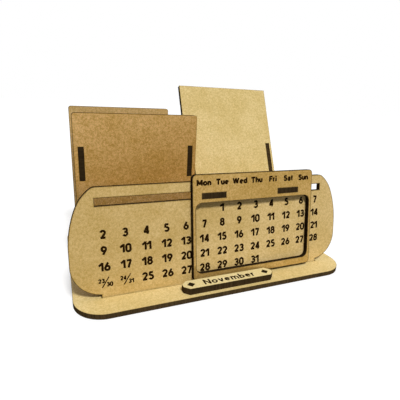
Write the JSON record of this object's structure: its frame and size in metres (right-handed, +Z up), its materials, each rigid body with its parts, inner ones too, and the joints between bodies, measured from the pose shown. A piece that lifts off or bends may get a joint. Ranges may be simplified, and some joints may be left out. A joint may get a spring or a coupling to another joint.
{
  "type": "desk calendar with pen holder",
  "caption": "Perpetual desk calendar of slotted fibreboard: leaning date board with a sliding window, pen box behind, leaning rest beside it and a lift-off month strip.",
  "frame": {"origin": "centre of the base's underside", "axes": "+X to the right along the calendar, +Y to the back, +Z up"},
  "size_m": [0.1804, 0.124, 0.1194],
  "materials": {
    "raw_sheet": "raw fibreboard, matt",
    "box_sheet": "raw fibreboard, matt",
    "rest_sheet": "raw fibreboard, matt",
    "slider_sheet": "raw fibreboard, matt",
    "strip_sheet": "raw fibreboard, matt"
  },
  "bodies": {
    "stand": {"base_plate": "raw_sheet", "calendar_board": "raw_sheet", "pen_box_front": "box_sheet", "pen_box_back": "box_sheet", "pen_box_left_wall": "box_sheet", "pen_box_right_wall": "box_sheet", "rest_plate": "rest_sheet", "rest_prop_left": "rest_sheet", "rest_prop_right": "rest_sheet", "month_peg_left": "strip_sheet", "month_peg_right": "strip_sheet"},
    "date_slider": {"slider_frame": "slider_sheet", "slider_key_left": "slider_sheet", "slider_key_right": "slider_sheet", "slider_keeper": "slider_sheet"},
    "month_sign": {"month_strip": "strip_sheet"}
  },
  "joints": [
    {"name": "date_slide", "type": "slide", "parent": "stand", "child": "date_slider", "axis": [1, 0, 0], "range_m": [-0.0608, 0.0213]},
    {"name": "month_lift", "type": "slide", "parent": "stand", "child": "month_sign", "axis": [0, 0, 1], "range_m": [0, 0.03]}
  ]
}
